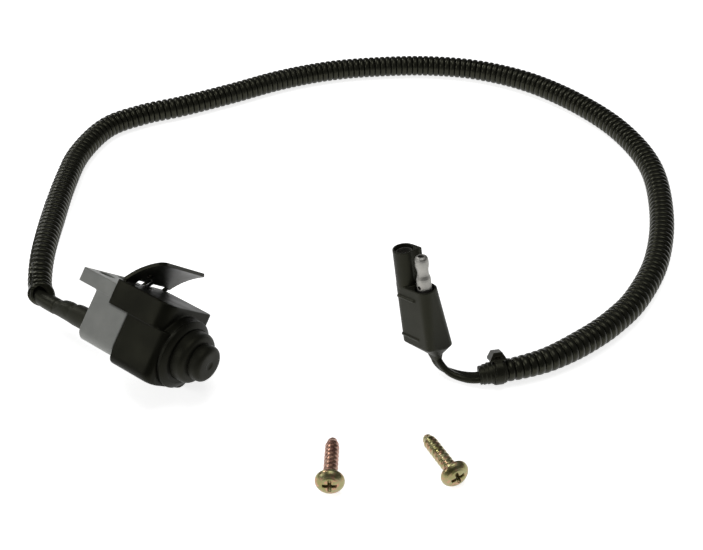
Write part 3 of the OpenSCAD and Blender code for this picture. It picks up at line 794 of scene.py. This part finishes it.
def wire(points, r, up):
    """A round wire of radius r along points. It never runs along up."""
    rings = []
    for i, p in enumerate(points):
        ahead = (points[min(i + 1, len(points) - 1)] - points[max(i - 1, 0)]).normalized()
        rings.append(circle(p, *sides_of(ahead, up), r, 12))
    return merged([loft(rings)])


def make_return_spring():
    """Coil between the carrier and the plunger. The real one shortens as the plunger slides in; this mesh is
    made at one length.
    """
    # Its two ends along the housing, its radius and its six turns in degrees.
    x0, x1, coil_r, coil_turn = 9.5, 17.6, 3.05, 2160
    points = []
    for a in range(0, coil_turn + 1, 10):
        y, z = coil_r * cos(radians(a)), AXIS_Z + coil_r * sin(radians(a))
        points.append(Vector((x0 + (x1 - x0) * a / coil_turn, y, z)))
    mesh = wire(points, 0.35, X)
    obj = piece("return_spring_coil", mesh, HOUSING, "spring_steel", ["return_spring"], body=None)
    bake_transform(obj)


def make_flap_spring():
    """Torsion spring on the hinge: a leg against the flap, a coil, and a leg on the cap."""
    # Its two ends along the hinge, its radius and the coil's turn in degrees.
    y0, y1, coil_r, coil_turn = -1.95, -3.35, 1.15, 990
    path = [(4.9, y0, 16.1), (4.2, y0, 14.9), (3.3, y0, 13.5), (2.8, y0, 13.05)]
    for a in range(0, coil_turn + 1, 15):
        x, z = HINGE_X - coil_r * sin(radians(a)), HINGE_Z + coil_r * cos(radians(a))
        path.append((x, y0 + (y1 - y0) * a / coil_turn, z))
    path += [(3.2, y1, 12.7), (3.3, y1, 13.3), (3.8, y1, 13.7), (7.4, y1, 13.6)]
    mesh = wire([Vector(p) for p in path], 0.25, Y)
    obj = piece("flap_spring_wire", mesh, HOUSING, "spring_steel", ["flap_spring"], body=None)
    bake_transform(obj)


SLEEVE_END, SLEEVE_SIDES = -31.4, 56
# Places along the sleeve from its open end to the housing, each with its reach on the upper side: two
# swellings with a dip between them.
SLEEVE = ((SLEEVE_END, 2.85), (-31, 2.98), (-30.2, 3.0), (-29.4, 3.02), (-28.7, 3.3), (-28, 3.58),
          (-26.5, 3.72), (-25, 3.76), (-24, 3.68), (-23.2, 3.42), (-22.5, 3.36), (-22, 3.62),
          (-21.3, 3.98), (-20, 4.15), (-18, 4.16), (-16, 4.25), (-12, 4.32), (REAR_X, 4.35))
# The lower side's reach at the open end, how much it grows towards the housing, and over what length.
LOWER_REACH, LOWER_GROWS, LOWER_LEN = 2.85, 1.25, 11.4
# Radius of the sleeve's bore and of its neck in the housing's wall, and where the neck ends.
SLEEVE_BORE, NECK_R, NECK_END = 2.66, 3.58, -5.6


def make_sleeve():
    """Rubber sleeve on the lead. Its swellings stand on its upper side, and its lower side runs even."""
    above = HOUSING.to_3x3().inverted() @ VIEW_UP
    rings = []
    for x, r in SLEEVE:
        lower = LOWER_REACH + LOWER_GROWS * min(1, (x - SLEEVE_END) / LOWER_LEN)
        centre = sag(x)
        ring = []
        for k in range(SLEEVE_SIDES):
            a = turn(SLEEVE_SIDES, k)
            # 1 on the upper side, 0 on the lower side.
            facing = max(0.0, min(1.0, 0.35 + above.y * cos(a) + above.z * sin(a)))
            reach = lower + (r - lower) * facing
            ring.append(centre + Vector((0, reach * cos(a), reach * sin(a))))
        rings.append(ring)
    neck = [circle(Vector((x, 0, LEAD_Z)), Y, Z, NECK_R, SLEEVE_SIDES) for x in (REAR_X, NECK_END)]
    bore = [circle(sag(x), Y, Z, SLEEVE_BORE, SLEEVE_SIDES)
            for x in (NECK_END, -18, -21, -24, -27, -29, SLEEVE_END)]
    mesh = merged([loft(rings + neck + bore, loop=True)])
    piece("lead_sleeve_moulding", mesh, HOUSING, "sleeve_rubber", ["lead_sleeve"])


# ---- screws ----

# A screw's frame: the head stands up from height 0 and the shank hangs down from it.
HEAD_R, HEAD_H, SCREW_LEN = 4.9, 3.2, 19.0
# The shank's core, its thread, and how far up from the point the core has its full radius.
CORE, THREAD_HIGH, THREAD_PITCH, POINT_LEN = 2.3, 0.14, 1.9, 3.4
# The point's radius as a share of the core's, and the rest, which comes in over POINT_LEN.
POINT_SHARE, POINT_REST = 0.34, 0.66
# The thread stops THREAD_END below the head and fades out over THREAD_FADE.
THREAD_END, THREAD_FADE = 0.6, 1.2
# How far a screw that lies on the floor is turned over.
SCREW_TILT = -81.5


def screw_shank():
    """Self-tapping shank: one low thread wound round a core that ends in a blunt round point."""
    sides, step = 48, 0.16
    rings = []
    # The shank runs on 0.4 mm into the head.
    count = int((SCREW_LEN + 0.4) / step)
    for i in range(count + 1):
        z = -SCREW_LEN + i * step
        up = z + SCREW_LEN
        taper = min(1.0, POINT_SHARE + POINT_REST * sqrt(min(1.0, up / POINT_LEN)))
        fade = min(1.0, max(0.0, -z - THREAD_END) / THREAD_FADE)
        ring = []
        for k in range(sides):
            a = turn(sides, k)
            phase = z / THREAD_PITCH - a / (2 * pi)
            crest = max(0.0, 1 - abs(phase - floor(phase) - 0.5) / 0.4)
            r = taper * (CORE + THREAD_HIGH * fade * crest)
            ring.append((r * cos(a), r * sin(a), z))
        rings.append(ring)
    return loft(rings)


def make_screw(name, at, heading, spin, finish):
    """A pan head screw that lies on the floor on its head's rim and its point, in two pieces."""
    place = (Matrix.Translation((at[0], at[1], HEAD_R)) @ Matrix.Rotation(radians(heading), 4, "Z")
             @ Matrix.Rotation(radians(SCREW_TILT), 4, "Y") @ Matrix.Rotation(radians(spin), 4, "Z"))
    dome = [(0, 0), (HEAD_R - 0.25, 0), (HEAD_R, 0.25), (HEAD_R, 0.9), (HEAD_R - 0.12, 1.35),
            (HEAD_R - 0.5, 1.95), (HEAD_R - 1.1, 2.5), (HEAD_R - 2, 2.92), (HEAD_R - 3, 3.12),
            (1, HEAD_H - 0.02), (0, HEAD_H)]
    # The cross recess: two crossed wedges, given by height, half their length and half their width.
    levels = ((0.9, 0.6, 0.3), (1.6, 1.7, 0.45), (4.2, 3.1, 0.72))
    corners = ((-1, -1), (1, -1), (1, 1), (-1, 1))
    cuts = [loft([[u * (w * i) + v * (t * j) + Z * z for i, j in corners] for z, w, t in levels])
            for u, v in ((X, Y), (Y, X))]
    head = moulded([turned_z(dome)], cuts, 0.12, 2)
    piece(name + "_head", head, place, "yellow_zinc", ["mounting_screws"])
    shank = merged([screw_shank()])
    piece(name + "_shank", shank, place, finish, ["mounting_screws"], sharp=55)


make_rear_shell()
make_front_shell()
make_bezel()
make_boot()
make_flap()
make_flap_spring()
make_return_spring()
make_sleeve()
make_screw("screw_left", (29.5, -40.6), 88, 0, "pink_zinc")
make_screw("screw_right", (69.7, -37.6), 115, 15, "yellow_zinc")


# ---- CAD nodes that stay as they are ----

KEPT = {
    "shell_gasket": "black_rubber", "guide_bush": "nylon", "plunger": "nylon",
    "contact_bridge": "contact_brass", "fixed_terminals": "contact_brass", "terminal_carrier": "nylon",
    "flap_pin": "spring_steel", "female_terminal": "tin_plate",
}
for node, finish in KEPT.items():
    for material_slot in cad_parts[node].material_slots:
        material_slot.material = MATS[finish]


# ---- floor and light, in metres ----

WHITE = (1, 1, 1, 1)
# Half the floor's side, and how far it lies below the pieces so that they don't share a plane.
FLOOR_HALF, FLOOR_DROP = 6.0, 0.0002
FLOOR_GLOSS, FLOOR_GLOW, WORLD_GLOW = 0.1, 0.8, 0.1


def make_stage():
    """Plain pale floor that glows a little, so that shadows stay soft."""
    low, high = -FLOOR_HALF, FLOOR_HALF
    mesh = bpy.data.meshes.new("floor")
    mesh.from_pydata([(low, low, 0), (high, low, 0), (high, high, 0), (low, high, 0)], [], [(0, 1, 2, 3)])
    pale = material("pale_floor", (0.9, 0.9, 0.9), (0.93, 0.93, 0.93), (0.7, 0.8), patch=4, grain=60,
                    bump=0.02, specular=FLOOR_GLOSS)
    shader = pale.node_tree.nodes["Principled BSDF"]
    shader.inputs["Emission Color"].default_value = WHITE
    shader.inputs["Emission Strength"].default_value = FLOOR_GLOW
    mesh.materials.append(pale)
    floor_piece = bpy.data.objects.new("floor", mesh)
    floor_piece.location.z = -FLOOR_DROP
    bpy.context.scene.collection.objects.link(floor_piece)


def area_light(name, place, target, size, power):
    """Rectangular light that faces its target. Its power is in watts."""
    data = bpy.data.lights.new(name, "AREA")
    data.shape, data.size, data.size_y, data.energy = "RECTANGLE", size[0], size[1], power
    light = bpy.data.objects.new(name, data)
    light.location = place
    light.rotation_euler = (Vector(target) - Vector(place)).to_track_quat("-Z", "Y").to_euler()
    bpy.context.scene.collection.objects.link(light)


def make_world():
    """Faint white light from all round."""
    world = bpy.data.worlds.new("studio")
    world.use_nodes = True
    background = world.node_tree.nodes["Background"]
    background.inputs["Color"].default_value = WHITE
    background.inputs["Strength"].default_value = WORLD_GLOW
    bpy.context.scene.world = world


make_stage()
area_light("key", (-0.75, 0.75, 0.8), (0.02, 0.08, 0), (0.3, 0.3), 4.0)
area_light("overhead", (0.1, 0.1, 1.1), (0.02, 0.08, 0), (0.6, 0.6), 3.4)
area_light("left", (-0.9, -0.3, 0.55), (0.0, 0.05, 0), (0.5, 0.35), 2.0)
make_world()
bpy.context.scene.view_settings.view_transform = "Standard"
